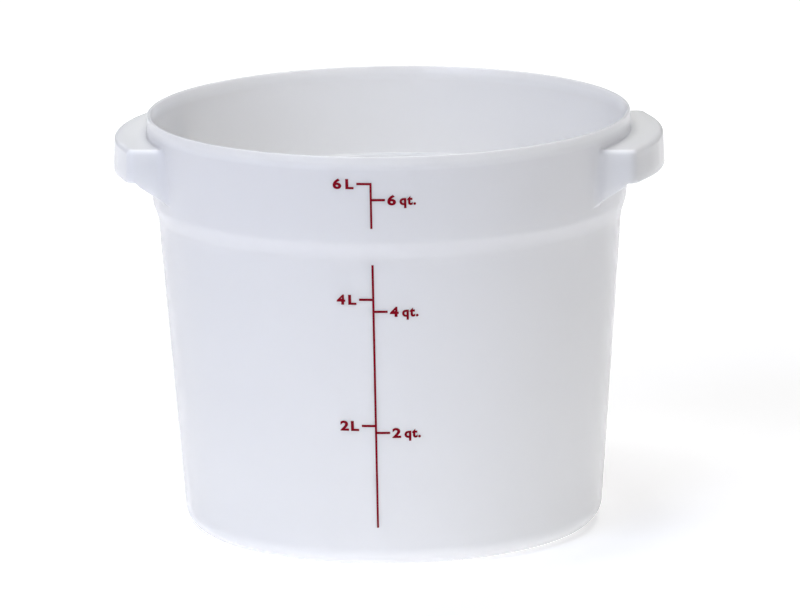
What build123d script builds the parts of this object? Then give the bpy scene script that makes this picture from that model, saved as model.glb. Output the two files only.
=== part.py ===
from build123d import *
import math
import os

# The tub as a whole, in millimetres and degrees
tub_height = 197.0
rim_radius = 114.0
wall_thickness = 2.5
collar_draft = 3.8
wall_draft = 4.2

# The stacking step between the collar and the lower wall
step_drop = 42.5
step_height = 4.0
step_inset = 2.0
step_round = 1.2
ledge_rise = 4.2
ledge_bevel = 0.5

# The base, its heel and the foot ring it stands on
floor_thickness = 2.8
heel_radius = 10.5
foot_recess = 0.6
foot_ring_width = 7.0
foot_ring_slope = 0.8
gate_radius = 3.5
gate_depth = 0.4

# The rim lip, thicker than the wall and rounded on top
lip_height = 7.0
lip_thickness = 2.9
lip_round = 1.1

# The two hood handles, measured from the rim and from its top
handle_drop = 9.5
handle_width = 100.0
handle_corner_reach = 3.4
handle_bend_reach = 9.3
handle_bend_width = 64.0
handle_reach = 14.9
handle_skirt = 15.0
handle_draft = 2.0
handle_wall = 2.5
handle_edge_round = 2.4
handle_corner_round = 3.0
handle_bend_round = 8.0
gusset_setback = 2.0
gusset_drop = 10.3

# The printed scale on the side that faces the reader
ink_thickness = 0.15
scale_line_width = 1.0
tick_length = 6.0
tick_thickness = 1.1
line_gap_above_step = 8.8
line_gap_below_step = 4.8
lower_line_end_share = 0.1
litre_mark_shares = (0.3492, 0.6558, 0.9365)
quart_mark_shares = (0.3323, 0.6268, 0.898)

# How far a cutting body runs past what it cuts
overrun = 2.0

# Heights that the regions share
step_top_z = tub_height - step_drop
step_foot_z = step_top_z - step_height
ledge_z = step_foot_z + ledge_rise
lip_z = tub_height - lip_height
plate_z = tub_height - handle_drop
skirt_z = plate_z - handle_skirt
gusset_z = skirt_z - gusset_drop
scale_angle = -90.0


def collar_radius(z):
    """Outer radius of the collar at a height."""
    return rim_radius - (tub_height - z) * math.tan(math.radians(collar_draft))


def wall_radius(z):
    """Outer radius of the lower wall at a height."""
    foot_of_step = collar_radius(step_foot_z) - step_inset
    return foot_of_step - (step_foot_z - z) * math.tan(math.radians(wall_draft))


def inner_collar_radius(z):
    """Inner radius of the collar at a height: the wall is as thick everywhere, square to its face."""
    return collar_radius(z) - wall_thickness / math.cos(math.radians(collar_draft))


def inner_wall_radius(z):
    """Inner radius of the lower wall at a height."""
    return wall_radius(z) - wall_thickness / math.cos(math.radians(wall_draft))


def heel_arc(radius, level, line):
    """Start, middle and end of the arc that turns a flat at a level into the tapered wall."""
    lean = math.radians(wall_draft)
    centre_r = line(level + radius) - radius / math.cos(lean)
    centre_z = level + radius
    points = []
    for share in (0.0, 0.5, 1.0):
        angle = math.radians(-90) + share * (math.radians(90) - lean)
        points.append((centre_r + radius * math.cos(angle), centre_z + radius * math.sin(angle)))
    return points


def turned(points_or_edges):
    """Full revolve of a closed radius-height profile."""
    return revolve(Plane.XZ * make_face(points_or_edges), Axis.Z)


def corner_at(profile, point):
    """The corner of a flat profile that lies nearest to a point."""
    return profile.vertices().sort_by_distance(Vector(point[0], point[1], 0))[0]


def tub_base():
    """Floor and heel, up to a level cut just above the heel's curve."""
    outer_start, outer_middle, outer_end = heel_arc(heel_radius, 0.0, wall_radius)
    inner_radius = heel_radius - wall_thickness
    inner_start, inner_middle, inner_end = heel_arc(inner_radius, floor_thickness, inner_wall_radius)
    top = heel_radius
    ring_inner = outer_start[0] - foot_ring_width
    recess_edge = ring_inner - foot_ring_slope
    under = [
        (0, foot_recess + gate_depth),
        (gate_radius, foot_recess + gate_depth),
        (gate_radius + gate_depth, foot_recess),
        (recess_edge, foot_recess),
        (ring_inner, 0),
        outer_start,
    ]
    outline = Polyline(*under)
    outline += ThreePointArc(outer_start, outer_middle, outer_end)
    outline += Polyline(outer_end, (wall_radius(top), top), (inner_wall_radius(top), top), inner_end)
    outline += ThreePointArc(inner_end, inner_middle, inner_start)
    outline += Polyline(inner_start, (0, floor_thickness), under[0])
    return turned(outline)


def tub_wall():
    """Lower wall, from the heel to the foot of the step."""
    low, high = heel_radius, step_foot_z
    outline = Polyline(
        (wall_radius(low), low),
        (wall_radius(high), high),
        (inner_wall_radius(high), high),
        (inner_wall_radius(low), low),
        close=True,
    )
    return turned(outline)


def stacking_collar():
    """Collar with the step outside, and inside it the ledge that a nested tub rests on."""
    foot = (wall_radius(step_foot_z), step_foot_z)
    shoulder_z = step_foot_z + step_round
    shoulder = (wall_radius(shoulder_z), shoulder_z)
    brow = (collar_radius(step_top_z), step_top_z)
    ledge_edge = (inner_wall_radius(ledge_z), ledge_z)
    ledge_root = (inner_collar_radius(ledge_z), ledge_z)
    outline = Polyline(
        foot,
        shoulder,
        brow,
        (collar_radius(lip_z), lip_z),
        (inner_collar_radius(lip_z), lip_z),
        ledge_root,
        ledge_edge,
        (inner_wall_radius(step_foot_z), step_foot_z),
        close=True,
    )
    profile = make_face(outline)
    profile = fillet([corner_at(profile, shoulder), corner_at(profile, brow)], step_round)
    profile = chamfer([corner_at(profile, ledge_root), corner_at(profile, ledge_edge)], ledge_bevel)
    return revolve(Plane.XZ * profile, Axis.Z)


def rim_lip():
    """Lip that thickens inwards over its height and is rounded along both top edges."""
    outer_top = (rim_radius, tub_height)
    inner_top = (rim_radius - lip_thickness, tub_height)
    outline = Polyline(
        (collar_radius(lip_z), lip_z),
        outer_top,
        inner_top,
        (inner_collar_radius(lip_z), lip_z),
        close=True,
    )
    profile = make_face(outline)
    profile = fillet([corner_at(profile, outer_top), corner_at(profile, inner_top)], lip_round)
    return revolve(Plane.XZ * profile, Axis.Z)


def handle_plan():
    """Plan of the hood at its plate: two sides, two bends and a bowed front, with square corners."""
    root = rim_radius - handle_width / 2
    half = handle_width / 2
    corner = rim_radius + handle_corner_reach
    bend = rim_radius + handle_bend_reach
    bend_half = handle_bend_width / 2
    front = rim_radius + handle_reach
    outline = Polyline((bend, bend_half), (corner, half), (root, half), (root, -half), (corner, -half),
                       (bend, -bend_half))
    outline += ThreePointArc((bend, -bend_half), (front, 0), (bend, bend_half))
    return make_face(outline)


def softened(plan):
    """The plan with its corners and bends rounded, as they are outside."""
    corner = rim_radius + handle_corner_reach
    bend = rim_radius + handle_bend_reach
    for side in (handle_width / 2, -handle_width / 2):
        plan = fillet(corner_at(plan, (corner, side)), handle_corner_round)
    for side in (handle_bend_width / 2, -handle_bend_width / 2):
        plan = fillet(corner_at(plan, (bend, side)), handle_bend_round)
    return plan


def drawn_down(plan, top, bottom):
    """A plan carried down between two levels, its walls leaning out by the draft."""
    body = extrude(Plane.XY.offset(top) * plan, top - bottom, dir=(0, 0, -1))
    walls = body.faces().filter_by(Axis.Z, reverse=True)
    return draft(walls, Plane.XY.offset(top), handle_draft)


def hood_handle():
    """Open-bottomed lug: a level plate, a skirt round three sides and a gusset under each end."""
    outer = drawn_down(softened(handle_plan()), plate_z, gusset_z - overrun)
    top_edges = outer.faces().sort_by(Axis.Z)[-1].edges().sort_by(Axis.X)
    outer = fillet(top_edges[1:], handle_edge_round)

    inner_plan = offset(handle_plan(), -handle_wall, kind=Kind.INTERSECTION)
    hollow = drawn_down(inner_plan, plate_z - handle_wall, gusset_z - 2 * overrun)

    corner = rim_radius + handle_corner_reach - gusset_setback
    side = (handle_width - handle_wall) / 2
    foot = math.sqrt(collar_radius(gusset_z) ** 2 - side ** 2)
    past_front = rim_radius + handle_reach + 2 * overrun
    slope = (skirt_z - gusset_z) / (corner - foot)
    below = gusset_z - 3 * overrun
    under = Polyline(
        (past_front, skirt_z),
        (corner, skirt_z),
        (foot - overrun, gusset_z - slope * overrun),
        (foot - overrun, below),
        (past_front, below),
        close=True,
    )
    clearing = extrude(Plane.XZ * make_face(under), handle_width, both=True)

    low, high = below, plate_z + overrun
    tub_inside = turned(Polyline((0, low), (collar_radius(low), low), (collar_radius(high), high), (0, high),
                                 close=True))
    return outer - hollow - clearing - tub_inside


def printed_patch(radius_at, low, high, left, right):
    """Ink on a tapered wall between two heights, and between two distances along the wall."""
    outline = Polyline(
        (radius_at(low), low),
        (radius_at(low) + ink_thickness, low),
        (radius_at(high) + ink_thickness, high),
        (radius_at(high), high),
        close=True,
    )
    middle = radius_at((low + high) / 2)
    start = math.degrees(left / middle)
    sweep = math.degrees((right - left) / middle)
    patch = revolve(Plane.XZ * make_face(outline), Axis.Z, sweep)
    return Rot(Z=scale_angle + start) * patch


def scale_lines():
    """The two upright lines: one on the collar under the top mark, one down the lower wall."""
    half = scale_line_width / 2
    top = litre_mark_shares[-1] * tub_height + tick_thickness / 2
    upper = printed_patch(collar_radius, step_top_z + line_gap_above_step, top, -half, half)
    low, high = lower_line_end_share * tub_height, step_foot_z - line_gap_below_step
    lower = printed_patch(wall_radius, low, high, -half, half)
    return upper, lower


def scale_ticks(mark_shares, side):
    """Ticks that start at the edge of the line and run to one side of it."""
    near, far = scale_line_width / 2, scale_line_width / 2 + tick_length
    left, right = sorted((side * near, side * far))
    ticks = []
    for share in mark_shares:
        middle = share * tub_height
        radius_at = collar_radius if middle > step_top_z else wall_radius
        low, high = middle - tick_thickness / 2, middle + tick_thickness / 2
        ticks.append(printed_patch(radius_at, low, high, left, right))
    return Compound(children=[solid for tick in ticks for solid in tick.solids()])


upper_line, lower_line = scale_lines()
handle = hood_handle()
nodes = {
    "tub_base": tub_base(),
    "tub_wall": tub_wall(),
    "stacking_collar": stacking_collar(),
    "rim_lip": rim_lip(),
    "handle_right": handle,
    "handle_left": Rot(Z=180) * handle,
    "scale_upper_line": upper_line,
    "scale_lower_line": lower_line,
    "litre_ticks": scale_ticks(litre_mark_shares, -1),
    "quart_ticks": scale_ticks(quart_mark_shares, 1),
}

os.makedirs("parts", exist_ok=True)
for name, shape in nodes.items():
    export_step(shape, f"parts/{name}.step")
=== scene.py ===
import bpy
import bmesh
import math
from mathutils import Matrix, Vector


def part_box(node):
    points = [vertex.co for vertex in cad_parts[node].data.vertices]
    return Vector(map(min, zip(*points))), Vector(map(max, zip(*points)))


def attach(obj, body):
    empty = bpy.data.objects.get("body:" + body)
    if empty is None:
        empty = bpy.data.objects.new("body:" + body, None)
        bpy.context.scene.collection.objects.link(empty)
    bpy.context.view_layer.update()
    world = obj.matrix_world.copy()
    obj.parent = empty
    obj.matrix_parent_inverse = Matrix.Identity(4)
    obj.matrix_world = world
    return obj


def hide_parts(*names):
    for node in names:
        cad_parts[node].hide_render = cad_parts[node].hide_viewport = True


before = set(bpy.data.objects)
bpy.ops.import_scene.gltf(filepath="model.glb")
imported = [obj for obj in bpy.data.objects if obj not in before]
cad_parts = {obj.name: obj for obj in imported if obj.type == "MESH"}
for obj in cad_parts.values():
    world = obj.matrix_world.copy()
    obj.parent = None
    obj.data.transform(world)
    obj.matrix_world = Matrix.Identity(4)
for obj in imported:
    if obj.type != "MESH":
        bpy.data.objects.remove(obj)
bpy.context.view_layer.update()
mm = 0.001
samePoint = 1e-6        # points closer than this become one, in metres
shortestEdge = 1e-7
print("frame loaded:", len(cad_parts), "nodes")


def topOf(node):
    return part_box(node)[1].z


def footOf(node):
    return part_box(node)[0].z


# The moulding's sizes; its levels come from the frame
tub = {
    "height": topOf("rim_lip"),
    "lipFoot": footOf("rim_lip"),
    "stepFoot": topOf("tub_wall"),
    "rimRadius": 114.0 * mm,
    "wall": 2.5 * mm,
    "floor": 2.8 * mm,
    "collarDraft": math.radians(3.8),
    "wallDraft": math.radians(4.2),
    "stepInset": 2.0 * mm,
    "stepBrow": 5.8 * mm,          # where the slope of the step ends above its foot
    "stepShoulder": -2.2 * mm,     # and where it starts
    "stepRound": 12.0 * mm,
    "ledgeRise": 4.2 * mm,
    "ledgeRound": 0.8 * mm,
    "lipThickness": 2.9 * mm,
    "lipRound": 0.6 * mm,
    "lipLean": 0.75 * mm,          # how far each side of the lip leans in over its last part
    "lipLeanHeight": 4.4 * mm,
    "lipEase": 22.0 * mm,
    "lipBlend": 6.0 * mm,
    "heelRadius": 10.5 * mm,
    "footRing": 7.0 * mm,
    "footSlope": 0.8 * mm,
    "footRecess": 0.6 * mm,
    "footRound": 0.4 * mm,
    "gateRadius": 3.5 * mm,
    "gateDepth": 0.4 * mm,
    "gateRound": 0.15 * mm,
    "around": 288,
    "fineSteps": 8,
    "heelSteps": 18,
    "footSteps": 4,
    "gateSteps": 3,
    "longestFace": 4.0 * mm,
    "smoothAngle": 60,             # edges sharper than this stay crisp, in degrees
}


def collarRadius(z):
    return tub["rimRadius"] - (tub["height"] - z) * math.tan(tub["collarDraft"])


def wallRadius(z):
    footOfStep = collarRadius(tub["stepFoot"]) - tub["stepInset"]
    return footOfStep - (tub["stepFoot"] - z) * math.tan(tub["wallDraft"])


def innerCollarRadius(z):
    return collarRadius(z) - tub["wall"] / math.cos(tub["collarDraft"])


def innerWallRadius(z):
    return wallRadius(z) - tub["wall"] / math.cos(tub["wallDraft"])


def roundedPath(corners):
    # each corner is x, y, radius and steps; a radius of zero keeps it sharp
    path = []
    for i, (x, y, radius, steps) in enumerate(corners):
        here = Vector((x, y))
        if radius <= 0:
            path.append(here)
            continue
        before = (Vector(corners[i - 1][:2]) - here).normalized()
        after = (Vector(corners[(i + 1) % len(corners)][:2]) - here).normalized()
        half = before.angle(after) / 2
        reach = radius / math.tan(half)
        centre = here + (before + after).normalized() * radius / math.sin(half)
        start = here + before * reach - centre
        end = here + after * reach - centre
        turn = math.atan2(start.x * end.y - start.y * end.x, start.dot(end))
        for k in range(steps + 1):
            angle = turn * k / steps
            spun = Vector((start.x * math.cos(angle) - start.y * math.sin(angle),
                           start.x * math.sin(angle) + start.y * math.cos(angle)))
            path.append(centre + spun)
    return path


def divided(path, longest):
    # the same path with points added along its long straight runs
    line = [path[0]]
    for before, after in zip(path, path[1:]):
        parts = max(1, math.ceil((after - before).length / longest))
        line += [before.lerp(after, k / parts) for k in range(1, parts + 1)]
    return line


def clean(mesh):
    # no double points, no slivers, and every face looking out
    bm = bmesh.new()
    bm.from_mesh(mesh)
    bmesh.ops.remove_doubles(bm, verts=bm.verts, dist=samePoint)
    bmesh.ops.dissolve_degenerate(bm, edges=bm.edges, dist=shortestEdge)
    bmesh.ops.recalc_face_normals(bm, faces=bm.faces)
    bm.to_mesh(mesh)
    bm.free()


def meshFrom(name, vertices, faces):
    mesh = bpy.data.meshes.new(name)
    mesh.from_pydata([tuple(v) for v in vertices], [], faces)
    clean(mesh)
    piece = bpy.data.objects.new(name, mesh)
    bpy.context.scene.collection.objects.link(piece)
    return piece


def smooth(piece, angle):
    piece.data.shade_smooth()
    piece.data.set_sharp_from_angle(angle=math.radians(angle))


# Floor, wall, step, collar and lip are one skin, turned from one profile
def tubProfile():
    t = tub
    fine, heel, foot, gate = t["fineSteps"], t["heelSteps"], t["footSteps"], t["gateSteps"]
    brow = t["stepFoot"] + t["stepBrow"]
    shoulder = t["stepFoot"] + t["stepShoulder"]
    ledge = t["stepFoot"] + t["ledgeRise"]
    draft = t["wallDraft"]
    ringOuter = wallRadius(0) - t["heelRadius"] * (1 - math.sin(draft)) / math.cos(draft)
    ringInner = ringOuter - t["footRing"]
    deep = t["footRecess"] + t["gateDepth"]
    lean = t["height"] - t["lipLeanHeight"]
    lipInside = t["rimRadius"] - t["lipThickness"]
    return roundedPath([
        (0, deep, 0, 0),
        (t["gateRadius"], deep, t["gateRound"], gate),
        (t["gateRadius"] + t["gateDepth"], t["footRecess"], t["gateRound"], gate),
        (ringInner - t["footSlope"], t["footRecess"], t["footRound"], foot),
        (ringInner, 0, t["footRound"], foot),
        (wallRadius(0), 0, t["heelRadius"], heel),
        (wallRadius(shoulder), shoulder, t["stepRound"], fine),
        (collarRadius(brow), brow, t["stepRound"], fine),
        (collarRadius(t["lipFoot"]), t["lipFoot"], 0, 0),
        (collarRadius(lean), lean, t["lipEase"], fine),
        (t["rimRadius"] - t["lipLean"], t["height"], t["lipRound"], fine),
        (lipInside + t["lipLean"], t["height"], t["lipRound"], fine),
        (lipInside, lean, t["lipEase"], fine),
        (innerCollarRadius(t["lipFoot"]), t["lipFoot"], t["lipBlend"], foot),
        (innerCollarRadius(ledge), ledge, t["ledgeRound"], fine),
        (innerWallRadius(ledge), ledge, t["ledgeRound"], fine),
        (innerWallRadius(t["floor"]), t["floor"], t["heelRadius"] - t["wall"], heel),
        (0, t["floor"], 0, 0),
    ])


def turned(name, path, around):
    vertices, faces, rings = [], [], []
    for point in path:
        if point.x < samePoint:    # on the axis
            vertices.append((0, 0, point.y))
            rings.append([len(vertices) - 1] * around)
            continue
        ring = []
        for k in range(around):
            angle = 2 * math.pi * k / around
            ring.append(len(vertices))
            vertices.append((point.x * math.cos(angle), point.x * math.sin(angle), point.y))
        rings.append(ring)
    for low, high in zip(rings, rings[1:]):
        for k in range(around):
            nextOne = (k + 1) % around
            corners = list(dict.fromkeys((low[k], low[nextOne], high[nextOne], high[k])))
            if len(corners) > 2:
                faces.append(corners)
    return meshFrom(name, vertices, faces)


mouldedTub = turned("mouldedTub", divided(tubProfile(), tub["longestFace"]), tub["around"])
print("tub turned:", len(mouldedTub.data.polygons), "faces")


# The hood handle: a plate, a skirt round three sides and a gusset under each end
hood = {
    "plate": topOf("handle_right"),
    "halfWidth": 50.0 * mm,
    "cornerReach": 3.8 * mm,
    "bendReach": 10.0 * mm,
    "bendHalf": 33.0 * mm,
    "reach": 14.86 * mm,
    "skirt": 15.6 * mm,
    "draft": math.radians(2.0),
    "wall": 2.5 * mm,
    "topRound": 2.4 * mm,
    "cornerRound": 4.5 * mm,
    "bendRound": 9.0 * mm,
    "gussetSetback": 2.4 * mm,
    "gussetDrop": 10.3 * mm,
    "gussetBlend": 1.5 * mm,
    "sunk": 1.2 * mm,           # how far the handle runs into the collar's wall
    "plateFillet": 0.8 * mm,    # where the plate meets the collar
    "sideFillets": (5.5 * mm, 1.5 * mm),    # where the sides meet it, outside and inside
    "hemRound": 0.2 * mm,
    "ceilingRound": 1.2 * mm,
    "rootSteps": 7,
    "sideSteps": 8,
    "cornerSteps": 8,
    "bendSteps": 8,
    "bendPasses": 6,            # how often the bend is eased
    "bendPull": 0.5,            # and how far each time
    "bowSteps": 40,
    "topSteps": 7,
    "skirtSteps": 5,
    "hemSteps": 4,
    "ceilingSteps": 5,
    "sunkSpread": (-1.0, -0.4),    # rows of points across the plate, as shares of its parts
    "filletSpread": (0, 0.1, 0.25, 0.45, 0.7, 1.0),
    "plateSpread": (0.33, 0.66, 1.0),
}
hood["ceiling"] = hood["plate"] - hood["wall"]
hood["skirtFoot"] = hood["plate"] - hood["skirt"]
hood["gussetFoot"] = hood["skirtFoot"] - hood["gussetDrop"]


def hoodBow():
    # half of the plan from the corner to the middle of the bow, each a point and the way that it faces
    h = hood
    corner = Vector((tub["rimRadius"] + h["cornerReach"], h["halfWidth"]))
    bend = Vector((tub["rimRadius"] + h["bendReach"], h["bendHalf"]))
    sag = h["reach"] - h["bendReach"]
    bowRadius = (h["bendHalf"] ** 2 + sag ** 2) / (2 * sag)
    bowCentre = tub["rimRadius"] + h["reach"] - bowRadius
    widest = math.asin(h["bendHalf"] / bowRadius)
    bow = []
    for k in range(1, h["bowSteps"] + 1):
        angle = widest * (1 - k / h["bowSteps"])
        bow.append((bowCentre + bowRadius * math.cos(angle), bowRadius * math.sin(angle), 0, 0))
    path = roundedPath([(corner.x - h["halfWidth"], corner.y, 0, 0),
                        (corner.x, corner.y, h["cornerRound"], h["cornerSteps"]),
                        (bend.x, bend.y, 0, 0)] + bow)[1:]
    path = eased(path, h["cornerSteps"] + 1, h["bendRound"])
    plan = []
    for i, point in enumerate(path):
        if i == 0:
            plan.append((point, Vector((0, 1))))
            continue
        along = path[i + 1] - path[i - 1] if i < len(path) - 1 else Vector((0, -1))
        along.normalize()
        plan.append((point, Vector((-along.y, along.x))))
    return plan


def eased(path, bendAt, radius):
    # the bend at one point, spread over a length on each side so that it turns gradually
    bend, steps, pull = path[bendAt], hood["bendSteps"], hood["bendPull"]
    before = [bend.lerp(path[bendAt - 1], k / steps) for k in range(steps - 1, 0, -1)]
    line = path[:bendAt] + before + path[bendAt:]
    for _ in range(hood["bendPasses"]):
        calm = list(line)
        for i in range(bendAt + 1, len(line) - 1):
            if (line[i] - bend).length < radius:
                calm[i] = line[i] * (1 - pull) + (line[i - 1] + line[i + 1]) * (pull / 2)
        line = calm
    return line


def flare(distance, radius):
    # how far a face spreads at that distance from the collar, as a quarter round
    if distance >= radius:
        return 0.0
    gap = min(radius, radius - distance)
    return radius - math.sqrt(radius * radius - gap * gap)


def hoodSide(k, z, inner, cornerStart):
    # a point of the hood's side and the way it faces: in the collar, round the fillet, then straight on
    h = hood
    radius = collarRadius(z)
    level = h["ceiling"] if inner else h["plate"]
    y = h["halfWidth"] - (h["wall"] if inner else 0) + (level - z) * math.tan(h["draft"])
    sign = -1 if inner else 1
    fillet = h["sideFillets"][1 if inner else 0]
    centre = Vector((0, y + sign * fillet))
    centre.x = math.sqrt((radius + fillet) ** 2 - centre.y ** 2)
    outwards = centre.normalized()
    if k == 0:
        return outwards * (radius - h["sunk"]), outwards
    if k <= h["rootSteps"]:
        share = (k - 1) / (h["rootSteps"] - 1)
        start = math.atan2(-outwards.y, -outwards.x)
        end = -math.pi * 1.5 if inner else -math.pi / 2
        if start > 0:
            start -= 2 * math.pi
        angle = start + (end - start) * share
        arm = Vector((math.cos(angle), math.sin(angle)))
        return centre + arm * fillet, -arm * sign
    share = (k - h["rootSteps"]) / h["sideSteps"]
    return Vector((centre.x + (cornerStart - centre.x) * share, y)), Vector((0, 1))


def hoodWall(station, z, inner):
    # a point of the outer or inner wall at a height, and the way that it faces
    h = hood
    kind, value, facing = station
    if kind == "side":
        return hoodSide(value, z, inner, facing)
    level = h["ceiling"] if inner else h["plate"]
    lean = (level - z) * math.tan(h["draft"]) - (h["wall"] if inner else 0)
    return value + facing * lean, facing


def hoodFoot(station):
    # the skirt's lower edge, which runs down the gusset towards the collar
    h = hood
    if station[0] != "side":
        return h["skirtFoot"]
    corner = tub["rimRadius"] + h["cornerReach"] - h["gussetSetback"]
    root = math.sqrt(collarRadius(h["gussetFoot"]) ** 2 - (h["halfWidth"] - h["wall"] / 2) ** 2)
    slope = h["gussetDrop"] / (corner - root)
    down = corner - hoodWall(station, h["skirtFoot"], False)[0].x
    blend = h["gussetBlend"]
    if down < -blend:
        return h["skirtFoot"]
    if down < blend:
        return h["skirtFoot"] - slope * (down + blend) ** 2 / (4 * blend)
    return h["skirtFoot"] - slope * down


def across(edge, z, up):
    # points from inside the collar to an edge, over the plate (up is 1) or under it (up is -1)
    h = hood
    outwards = edge.normalized()
    distance = edge.length - collarRadius(z)
    near = h["plateFillet"]
    steps = [share * h["sunk"] for share in h["sunkSpread"]]
    steps += [share * near for share in h["filletSpread"]]
    for share in h["plateSpread"]:
        steps.append(near + (distance - near) * share if distance > near else distance)
    points = []
    for step in steps:
        rise = up * flare(min(step, distance), near)
        flat = outwards * (collarRadius(z + rise) + min(step, distance))
        points.append(Vector((flat.x, flat.y, z + rise)))
    return points


def cornerInset(point, z, wanted):
    # how far an edge's round may reach back without coming out inside the tub
    return min(wanted, max(0.0, point.length - (collarRadius(z) - hood["sunk"])))


def hoodSection(station):
    # the closed loop of points round the hood's wall at one place along its plan
    h = hood
    loop = []
    top = h["plate"]
    shoulder, facing = hoodWall(station, top - h["topRound"], False)
    edge = shoulder - facing * cornerInset(shoulder, top, h["topRound"])
    loop += across(edge, top, 1)
    highest = loop[-1].z
    upper = top - h["topRound"]
    for k in range(1, h["topSteps"] + 1):
        angle = math.pi / 2 * k / h["topSteps"]
        flat = edge.lerp(shoulder, math.sin(angle))
        loop.append(Vector((flat.x, flat.y, highest - (highest - upper) * (1 - math.cos(angle)))))
    foot, hem = hoodFoot(station), h["hemRound"]
    for k in range(1, h["skirtSteps"] + 1):
        z = upper + (foot + hem - upper) * k / h["skirtSteps"]
        flat = hoodWall(station, z, False)[0]
        loop.append(Vector((flat.x, flat.y, z)))
    outside, inside = hoodWall(station, foot, False)[0], hoodWall(station, foot, True)[0]
    width = (inside - outside).length
    hemAcross = (inside - outside) * (min(hem, width / 2) / width)
    for k in range(1, h["hemSteps"] + 1):
        angle = math.pi / 2 * k / h["hemSteps"]
        flat = outside + hemAcross * (1 - math.cos(angle))
        loop.append(Vector((flat.x, flat.y, foot + hem * (1 - math.sin(angle)))))
    for k in range(h["hemSteps"]):
        angle = math.pi / 2 * k / h["hemSteps"]
        flat = inside - hemAcross * (1 - math.sin(angle))
        loop.append(Vector((flat.x, flat.y, foot + hem * (1 - math.cos(angle)))))
    under = h["ceiling"] - h["ceilingRound"]
    for k in range(h["skirtSteps"] + 1):
        z = foot + hem + (under - foot - hem) * k / h["skirtSteps"]
        flat = hoodWall(station, z, True)[0]
        loop.append(Vector((flat.x, flat.y, z)))
    innerTop, facing = hoodWall(station, under, True)
    innerEdge = innerTop - facing * cornerInset(innerTop, h["ceiling"], h["ceilingRound"])
    ceiling = across(innerEdge, h["ceiling"], -1)
    lowest = ceiling[-1].z
    for k in range(1, h["ceilingSteps"]):
        angle = math.pi / 2 * k / h["ceilingSteps"]
        flat = innerTop.lerp(innerEdge, 1 - math.cos(angle))
        loop.append(Vector((flat.x, flat.y, under + (lowest - under) * math.sin(angle))))
    loop += reversed(ceiling)
    return loop


def hoodMesh(name, turn):
    plan = hoodBow()
    cornerStart = plan[0][0].x
    stations = [("side", k, cornerStart) for k in range(hood["rootSteps"] + hood["sideSteps"])]
    stations += [("free", point, facing) for point, facing in plan]
    loops = [hoodSection(station) for station in stations]
    loops += [[Vector((p.x, -p.y, p.z)) for p in loop] for loop in reversed(loops[:-1])]
    around = len(loops[0])
    spin = Matrix.Rotation(turn, 4, "Z")
    vertices = [spin @ point for loop in loops for point in loop]
    faces = []
    for i in range(len(loops) - 1):
        for k in range(around):
            nextOne = (k + 1) % around
            a, b = i * around, (i + 1) * around
            faces.append((a + k, a + nextOne, b + nextOne, b + k))
    for end in (0, (len(loops) - 1) * around):
        for k in range(around // 2 - 1):
            faces.append((end + k, end + k + 1, end + around - 2 - k, end + around - 1 - k))
    return meshFrom(name, vertices, faces)


def mouldedOnto(tubPiece, hoodPiece):
    # tub and hood come out of one mould, so they share one skin
    join = tubPiece.modifiers.new("join", "BOOLEAN")
    join.operation = "UNION"
    join.solver = "MANIFOLD"
    join.object = hoodPiece
    bpy.context.view_layer.update()
    joined = bpy.data.meshes.new_from_object(tubPiece.evaluated_get(bpy.context.evaluated_depsgraph_get()))
    clean(joined)
    tubPiece.modifiers.clear()
    tubPiece.data = joined
    bpy.data.objects.remove(hoodPiece)


for turn in (0, math.pi):
    mouldedOnto(mouldedTub, hoodMesh("hood", turn))
smooth(mouldedTub, tub["smoothAngle"])
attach(mouldedTub, "root")
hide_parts("tub_base", "tub_wall", "stacking_collar", "rim_lip", "handle_right", "handle_left")
print("tub with hoods:", len(mouldedTub.data.polygons), "faces")


# The printed figures stand beside the ticks, their middles nearly level with them
figures = {
    "digits": "246",               # from the lowest tick up
    "tickGap": 5.0 * mm,           # ticks are further apart than this
    "capHeight": 4.8 * mm,
    "rise": 0.15 * mm,             # above the middle of the tick
    "ink": 0.12 * mm,
    "bold": 0.042,                 # how much the strokes are fattened, as a share of the letter size
    "curveSteps": 5,
    "letterSpace": 1.14,
    "digitWidth": 4.05 * mm,
    "letterWidth": 3.8 * mm,
    "quartWidth": 7.6 * mm,
    "leftDigits": {"6": -17.5 * mm, "4": -17.0 * mm, "2": -16.6 * mm},
    "leftLetter": -11.6 * mm,
    "rightDigit": 7.5 * mm,
    "rightLetters": 13.1 * mm,
}


def tickMiddles(node):
    # the middle height of each tick of a node, from the lowest up
    heights = sorted(v.co.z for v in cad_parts[node].data.vertices)
    groups = [[heights[0]]]
    for z in heights:
        if z - groups[-1][-1] > figures["tickGap"]:
            groups.append([])
        groups[-1].append(z)
    return [(group[0] + group[-1]) / 2 for group in groups]


def letters(text):
    # a word as a text object, one unit thick
    curve = bpy.data.curves.new("glyph", "FONT")
    curve.body = text
    curve.size = 1
    curve.offset = figures["bold"]
    curve.extrude = 0.5
    curve.resolution_u = figures["curveSteps"]
    curve.space_character = figures["letterSpace"]
    holder = bpy.data.objects.new("glyph", curve)
    bpy.context.scene.collection.objects.link(holder)
    bpy.context.view_layer.update()
    return holder


def capitalHeight():
    holder = letters("L")
    height = holder.dimensions.y
    bpy.data.objects.remove(holder)
    return height


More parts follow.
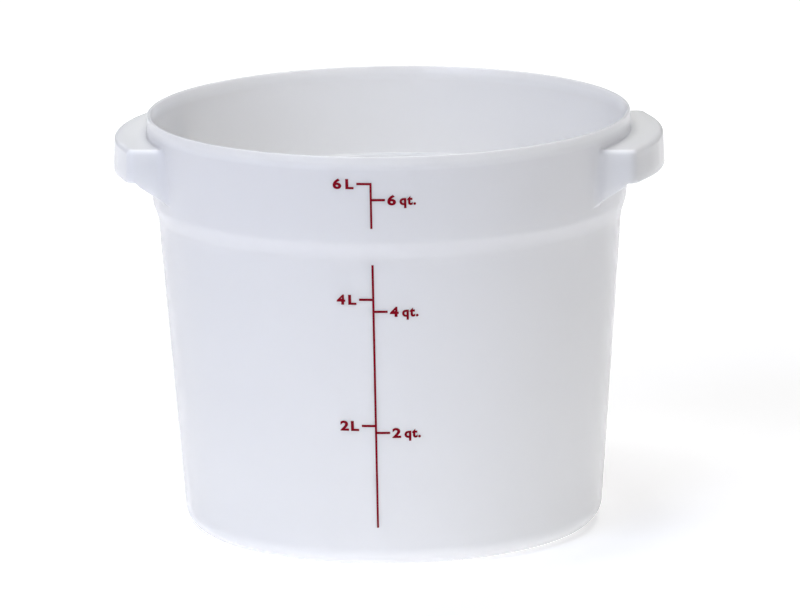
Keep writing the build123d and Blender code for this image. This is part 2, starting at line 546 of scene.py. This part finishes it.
def glyphMesh(text, left, width, middle, capHeight):
    # one word of the print, as a solid sheet of ink laid on the wall
    holder = letters(text)
    shape = bpy.data.meshes.new_from_object(holder.evaluated_get(bpy.context.evaluated_depsgraph_get()))
    bpy.data.objects.remove(holder)
    xs = [v.co.x for v in shape.vertices]
    start, stretch = min(xs), width / (max(xs) - min(xs))
    vertices = []
    for v in shape.vertices:
        along = left + (v.co.x - start) * stretch
        z = middle + figures["rise"] + (v.co.y - capHeight / 2) / capHeight * figures["capHeight"]
        radiusAt = collarRadius if middle > tub["stepFoot"] else wallRadius
        radius = radiusAt(z) + figures["ink"] * (v.co.z + 0.5)
        angle = -math.pi / 2 + along / radiusAt(middle)
        vertices.append((radius * math.cos(angle), radius * math.sin(angle), z))
    faces = [tuple(p.vertices) for p in shape.polygons]
    bpy.data.meshes.remove(shape)
    return vertices, faces


def printedFigures():
    f = figures
    capHeight = capitalHeight()
    words, vertices, faces = [], [], []
    for digit, middle in zip(f["digits"], tickMiddles("litre_ticks")):
        words.append((digit, f["leftDigits"][digit], f["digitWidth"], middle))
        words.append(("L", f["leftLetter"], f["letterWidth"], middle))
    for digit, middle in zip(f["digits"], tickMiddles("quart_ticks")):
        words.append((digit, f["rightDigit"], f["digitWidth"], middle))
        words.append(("qt.", f["rightLetters"], f["quartWidth"], middle))
    for text, left, width, middle in words:
        more, moreFaces = glyphMesh(text, left, width, middle, capHeight)
        base = len(vertices)
        vertices += more
        faces += [tuple(base + i for i in face) for face in moreFaces]
    return meshFrom("printedFigures", vertices, faces)


scaleFigures = printedFigures()
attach(scaleFigures, "root")
print("printed figures:", len(scaleFigures.data.polygons), "faces")


# Shader maths: a socket that takes part in Python expressions
class Wire:
    def __init__(self, tree, socket):
        self.tree, self.socket = tree, socket

    def node(self, kind, settings=None, out=0, **inputs):
        # any node: its settings first, then values or wires for its inputs
        made = self.tree.nodes.new(kind)
        for name, value in (settings or {}).items():
            if name == "stops":
                fillRamp(made.color_ramp, value)
            else:
                setattr(made, name, value)
        for name, value in inputs.items():
            key = int(name[2:]) if name.startswith("in") else name
            socket = made.inputs[key]
            if isinstance(value, Wire):
                self.tree.links.new(value.socket, socket)
            else:
                socket.default_value = value
        return Wire(self.tree, made.outputs[out])

    def maths(self, operation, first, second):
        return self.node("ShaderNodeMath", {"operation": operation}, in0=first, in1=second)

    def __add__(self, other):
        return self.maths("ADD", self, other)

    def __radd__(self, other):
        return self.maths("ADD", other, self)

    def __mul__(self, other):
        return self.maths("MULTIPLY", self, other)

    def __rmul__(self, other):
        return self.maths("MULTIPLY", other, self)

    def mix(self, first, second):
        # a colour between two, this wire being the share of the second
        return self.node("ShaderNodeMix", {"data_type": "RGBA"}, out=2, in0=self, in6=first, in7=second)

    def fade(self, start, end, first, last):
        # goes softly from the first value to the last while this wire goes from start to end
        return self.node("ShaderNodeMapRange", {"interpolation_type": "SMOOTHSTEP"},
                         in0=self, in1=start, in2=end, in3=first, in4=last)


def fillRamp(ramp, stops):
    while len(ramp.elements) < len(stops):
        ramp.elements.new(0.5)
    for element, (place, value) in zip(ramp.elements, stops):
        element.position = place
        element.color = (value, value, value, 1)


def newMaterial(name, settings):
    material = bpy.data.materials.new(name)
    material.use_nodes = True
    shader = material.node_tree.nodes["Principled BSDF"]
    for socket, value in settings.items():
        shader.inputs[socket].default_value = value
    return material, shader


def feed(shader, socket, wire):
    wire.tree.links.new(wire.socket, shader.inputs[socket])


# Milky polypropylene: light goes in and wanders through the wall; its colour also carries painted light and
# shade, by height, on the inside, at the lip and on the handles
plastic = {
    # painted shade and light by height: high darkens the collar, low lightens the wall lower down
    "high": (0.742, 0.74, 0.76, 1),      # outside, up at the collar
    "low": (0.86, 0.86, 0.866, 1),       # and down at the heel
    # painted shading: the handles get a tone of their own, set for how light falls on them
    "handle": (0.80, 0.80, 0.808, 1),
    # painted light: the inner faces lighter and warmer than the outside collar
    "inside": (0.862, 0.858, 0.852, 1),
    # painted light: the lip lighter all round, standing in for light coming through its thin top
    "lip": (0.965, 0.97, 0.98, 1),
    "cloud": (0.78, 0.79, 0.81, 1),
    "clouding": 0.25,
    "cloudScale": 14.0,
    "cloudDetail": 3.0,
    # heights and the share of the low colour there: painted light and shade, the wall lighter low down, the
    # collar darkest, the heel a little darker again
    "heights": ((0.0, 0.4), (0.07, 0.95), (0.15, 0.9), (0.4, 0.42), (0.7, 0.4), (0.745, 0.48), (0.785, 0.0)),
    "lipLightFrom": 0.966,                    # shares of the height
    "lipLightFull": 0.985,
    "handleToneBlend": 3.0 * mm,             # past the rim, from the wall's colour to the handle's
    "turning": 0.02,                     # how sharply outside changes to inside
    "roughness": 0.22,
    "roughSpread": 0.08,
    "ior": 1.49,
    "gloss": 0.38,
    "scatter": 13.0 * mm,
    "peel": 0.03,
    "peelDepth": 0.2 * mm,
    "peelScale": 420.0,
    "peelDetail": 2.0,
}


def tubPlastic():
    p = plastic
    material, shader = newMaterial("milkyPolypropylene", {
        "IOR": p["ior"],
        "Specular IOR Level": p["gloss"],
        "Subsurface Weight": 1.0,
        "Subsurface Radius": (1.0, 1.0, 1.0),
        "Subsurface Scale": p["scatter"],
        "Roughness": p["roughness"],
    })
    start = Wire(material.node_tree, None)
    place = start.node("ShaderNodeTexCoord", out=3)
    facing = start.node("ShaderNodeTexCoord", out=1)
    height = place.node("ShaderNodeSeparateXYZ", out=2, in0=place) * (1 / tub["height"])
    flat = place.node("ShaderNodeVectorMath", {"operation": "MULTIPLY"}, in0=place, in1=(1, 1, 0))
    radius = flat.node("ShaderNodeVectorMath", {"operation": "LENGTH"}, out=1, in0=flat)
    outwards = flat.node("ShaderNodeVectorMath", {"operation": "DOT_PRODUCT"}, out=1, in0=flat, in1=facing)
    # inner is one on inward faces, which take the painted-light inside colour
    inner = outwards.node("ShaderNodeMapRange", in0=outwards, in1=p["turning"], in2=-p["turning"])
    rim = tub["rimRadius"]
    # past the rim the handles take their painted-shading tone
    paintedHandleShare = radius.node("ShaderNodeMapRange", in0=radius, in1=rim, in2=rim + p["handleToneBlend"])
    # painted light and shade by height, from the ramp of heights
    paintedHeightShade = height.node("ShaderNodeValToRGB", {"stops": p["heights"]}, Fac=height)
    cloud = start.node("ShaderNodeTexNoise", {"noise_dimensions": "3D"}, Vector=place,
                       Scale=p["cloudScale"], Detail=p["cloudDetail"])
    fine = start.node("ShaderNodeTexNoise", {"noise_dimensions": "3D"}, Vector=place,
                      Scale=p["peelScale"], Detail=p["peelDetail"])
    # the lip's painted light, fading in towards the top
    paintedLipShare = height.node("ShaderNodeMapRange", in0=height, in1=p["lipLightFrom"], in2=p["lipLightFull"])
    wall = paintedHandleShare.mix(paintedHeightShade.mix(p["high"], p["low"]), p["handle"])
    skin = paintedLipShare.mix(inner.mix(wall, p["inside"]), p["lip"])
    feed(shader, "Base Color", (cloud * p["clouding"]).mix(skin, p["cloud"]))
    feed(shader, "Roughness", p["roughness"] - p["roughSpread"] / 2 + cloud * p["roughSpread"])
    bump = start.node("ShaderNodeBump", Strength=p["peel"], Distance=p["peelDepth"], Height=fine)
    feed(shader, "Normal", bump)
    return material


# Red pad-printed ink, a little uneven
ink = {
    "colour": (0.24, 0.0005, 0.009, 1),
    "thin": (0.32, 0.002, 0.015, 1),
    "roughness": 0.5,
    "roughSpread": 0.1,
    "ior": 1.5,
    "gloss": 0.06,
    "grainScale": 900.0,
    "grainDetail": 3.0,
    "patches": ((0.45, 0), (0.75, 1)),    # where in the grain the thin spots begin and end
}


def scaleInk():
    material, shader = newMaterial("padPrintedInk", {"IOR": ink["ior"], "Specular IOR Level": ink["gloss"]})
    start = Wire(material.node_tree, None)
    place = start.node("ShaderNodeTexCoord", out=3)
    grain = start.node("ShaderNodeTexNoise", {"noise_dimensions": "3D"}, Vector=place,
                       Scale=ink["grainScale"], Detail=ink["grainDetail"])
    patchy = grain.node("ShaderNodeValToRGB", {"stops": ink["patches"]}, Fac=grain)
    feed(shader, "Base Color", patchy.mix(ink["colour"], ink["thin"]))
    feed(shader, "Roughness", ink["roughness"] + grain * ink["roughSpread"])
    return material


milky = tubPlastic()
mouldedTub.data.materials.clear()
mouldedTub.data.materials.append(milky)
red = scaleInk()
scaleFigures.data.materials.append(red)
for node in ("scale_upper_line", "scale_lower_line", "litre_ticks", "quart_ticks"):
    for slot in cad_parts[node].material_slots:
        slot.material = red
print("materials done")


# Camera: the lens and distance give the photograph's near-flat view
view = {
    "azimuth": math.radians(4.4),
    "elevation": 0.1908,
    "distance": 3.7556,
    "lens": 360,
    "sensor": 36,
    "farthest": 100,
    "roll": 0.0148,
    "frame": (800, 616),
    "rimAt": (388.4, 109.9),      # where in the frame the middle of the rim stands
}


def placeCamera():
    v = view
    centre = Vector((0, 0, tub["height"]))
    side, rise = v["azimuth"], v["elevation"]
    back = Vector((math.sin(side) * math.cos(rise), -math.cos(side) * math.cos(rise), math.sin(rise)))
    right = Vector((math.cos(side), math.sin(side), 0))
    up = back.cross(right)
    turn = Matrix((right, up, back)).transposed()
    turn = turn @ Matrix.Rotation(-v["roll"], 3, "Z")
    data = bpy.data.cameras.new("camera")
    data.lens = v["lens"]
    data.sensor_width = v["sensor"]
    data.clip_end = v["farthest"]
    width, height = v["frame"]
    focal = v["lens"] / v["sensor"] * width
    aim = Vector(((v["rimAt"][0] - width / 2) / focal, (height / 2 - v["rimAt"][1]) / focal, -1)).normalized()
    tilt = Vector((0, 0, -1)).rotation_difference(aim).to_matrix()
    turn = turn @ tilt.transposed()
    camera = bpy.data.objects.new("camera", data)
    camera.matrix_world = Matrix.Translation(centre + back * v["distance"]) @ turn.to_4x4()
    bpy.context.scene.collection.objects.link(camera)
    bpy.context.scene.camera = camera


placeCamera()

# Studio: white paper that gives a little light of its own, and soft boxes
studio = {
    "floorReach": 8.0,
    "floorSteps": 8,
    "floorRoughness": 0.9,
    "floorGap": 0.05 * mm,         # so that the foot ring and the paper aren't in one plane
    "floorColour": (0.97, 0.97, 0.97, 1),
    "floorGlow": 0.11,             # light from the paper itself
    "poolGlow": 0.35,              # in the middle of the pool of light
    "farGlow": 0.55,               # and far away from the tub
    "farFrom": 0.35,
    "farTo": 1.6,
    "poolAt": (0.0, -0.15, 0.0),
    "poolReach": 0.45,
    "seamGlow": 0.12,              # just round the tub's foot
    "seamFrom": 0.098,
    "seamTo": 0.125,
}
softBoxes = {
    # name: place, width and height, watts, colour
    "overhead": ((0.0, -0.3, 1.7), (1.4, 0.35), 14.3, (0.96, 0.98, 0.98)),
    "overBack": ((-0.15, 0.9, 1.7), (1.8, 0.7), 21.0, (0.98, 0.96, 0.96)),
    "leftFront": ((-1.15, -1.72, 1.1), (1.5, 1.5), 21.8, (0.68, 0.75, 1.0)),
    "rightSide": ((1.8, 0.1, 0.9), (0.8, 1.0), 0.8, (0.96, 0.78, 0.86)),
    "behind": ((0.0, 3.0, 0.78), (3.2, 0.9), 2.6, (0.94, 1.0, 1.0)),    # the handles' tops mirror it
}


def layFloor():
    s = studio
    reach, steps = s["floorReach"], s["floorSteps"]
    vertices = [(reach * (2 * i / steps - 1), reach * (2 * j / steps - 1), -s["floorGap"])
                for j in range(steps + 1) for i in range(steps + 1)]
    faces = []
    for j in range(steps):
        for i in range(steps):
            a = j * (steps + 1) + i
            faces.append((a, a + 1, a + steps + 2, a + steps + 1))
    floor = meshFrom("studioFloor", vertices, faces)
    material, shader = newMaterial("floorPaper", {
        "Base Color": s["floorColour"],
        "Roughness": s["floorRoughness"],
        "Emission Strength": 1.0,
    })
    start = Wire(material.node_tree, None)
    place = start.node("ShaderNodeTexCoord", out=3)
    away = place.node("ShaderNodeVectorMath", {"operation": "DISTANCE"}, out=1, in0=place, in1=s["poolAt"])
    centre = place.node("ShaderNodeVectorMath", {"operation": "LENGTH"}, out=1, in0=place)
    pool = away.fade(0.0, s["poolReach"], s["poolGlow"], s["floorGlow"])
    distant = away.fade(s["farFrom"], s["farTo"], 0.0, s["farGlow"] - s["floorGlow"])
    seam = centre.fade(s["seamFrom"], s["seamTo"], s["seamGlow"], 0.0)
    feed(shader, "Emission Color", pool + distant + seam)
    floor.data.materials.append(material)


def hangLights():
    aim = Vector((0, 0, tub["height"] / 2))
    for name, (place, size, watts, colour) in softBoxes.items():
        data = bpy.data.lights.new(name, "AREA")
        data.shape = "RECTANGLE"
        data.size, data.size_y = size
        data.energy = watts
        data.color = colour
        box = bpy.data.objects.new(name, data)
        box.location = place
        box.rotation_euler = (aim - Vector(place)).to_track_quat("-Z", "Y").to_euler()
        bpy.context.scene.collection.objects.link(box)


layFloor()
hangLights()
# The paper and the boxes give all the light, so the world stays dark
world = bpy.data.worlds.new("studio")
bpy.context.scene.world = world
world.use_nodes = True
world.node_tree.nodes["Background"].inputs["Strength"].default_value = 0
bpy.context.scene.view_settings.view_transform = "Standard"
bpy.context.scene.view_settings.look = "None"
bpy.context.scene.cycles.use_denoising = True
print("studio done")
